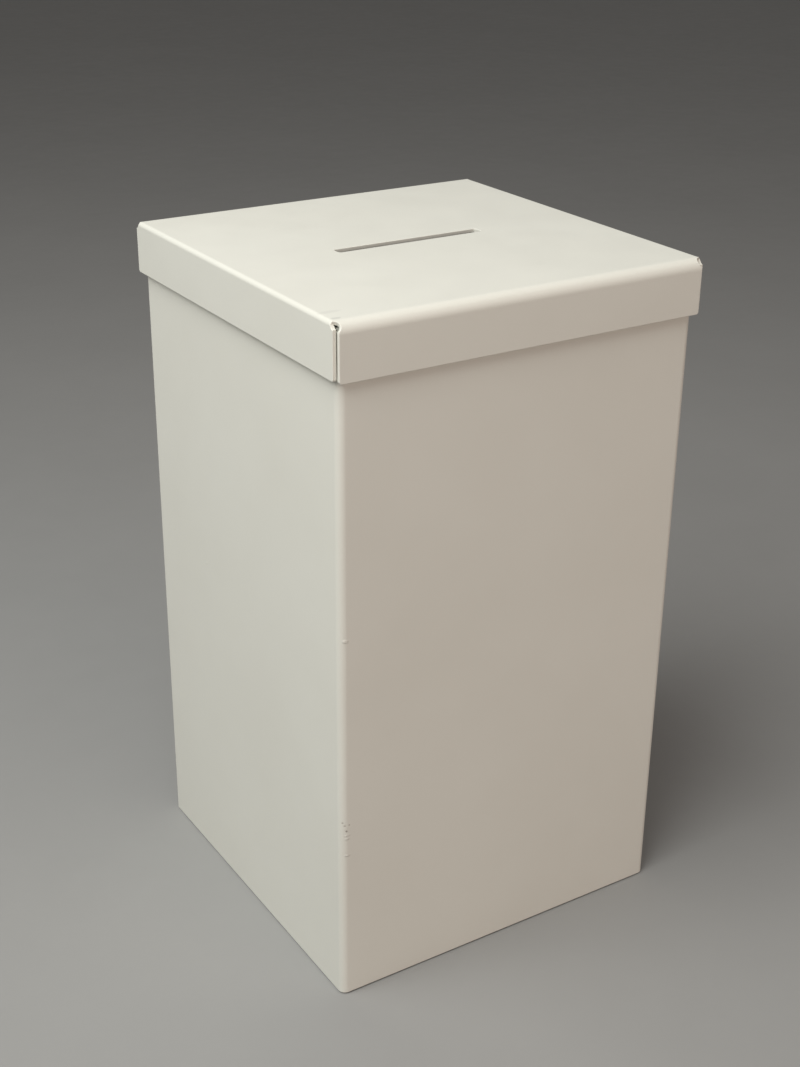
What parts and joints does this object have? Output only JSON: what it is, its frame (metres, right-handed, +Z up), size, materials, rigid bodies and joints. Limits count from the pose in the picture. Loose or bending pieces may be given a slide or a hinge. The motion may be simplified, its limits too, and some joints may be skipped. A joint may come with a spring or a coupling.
{
  "type": "donation box",
  "caption": "Tall square white sheet-metal donation box with a slotted shoe-box lid that lifts off, held down by a rear cam lock.",
  "frame": {"origin": "on the floor, under the middle of the box's square footprint", "axes": "+X right and +Y to the rear as seen from the front (the slot runs along X and the lock is in the rear wall), +Z up"},
  "size_m": [0.309, 0.309, 0.54],
  "materials": {
    "white_coat": "satin",
    "inner_coat": "satin",
    "zinc_steel": "satin",
    "lock_chrome": "polished",
    "lock_brass": "satin",
    "foot_rubber": "matte",
    "spring_steel": "satin"
  },
  "bodies": {
    "box": {"wall_wrap": "white_coat", "seam_strap": "inner_coat", "base_pan": "inner_coat", "lock_housing": "lock_chrome", "lock_washer": "zinc_steel", "lock_nut": "zinc_steel", "foot_front_left": "foot_rubber", "foot_front_right": "foot_rubber", "foot_rear_left": "foot_rubber", "foot_rear_right": "foot_rubber", "pan_studs": "zinc_steel", "pan_washers": "zinc_steel", "pan_nuts": "zinc_steel", "foot_screws": "zinc_steel", "foot_washers": "zinc_steel", "foot_nuts": "zinc_steel"},
    "lock_core": {"lock_plug": "lock_chrome", "lock_wafers": "lock_brass", "wafer_springs": "spring_steel", "lock_cam": "zinc_steel", "cam_washer": "zinc_steel", "cam_screw": "zinc_steel"},
    "lid": {"lid_shell": "white_coat", "keeper_bracket": "zinc_steel", "keeper_studs": "zinc_steel", "keeper_washers": "zinc_steel", "keeper_nuts": "zinc_steel"}
  },
  "joints": [
    {"name": "lid_lift", "type": "slide", "parent": "box", "child": "lid", "axis": [0, 0, 1], "range_m": [0, 0.12]},
    {"name": "lock_turn", "type": "hinge", "parent": "box", "child": "lock_core", "pos_m": [0, 0.14, 0.48], "axis": [0, 1, 0], "range_deg": [0, 90]}
  ]
}
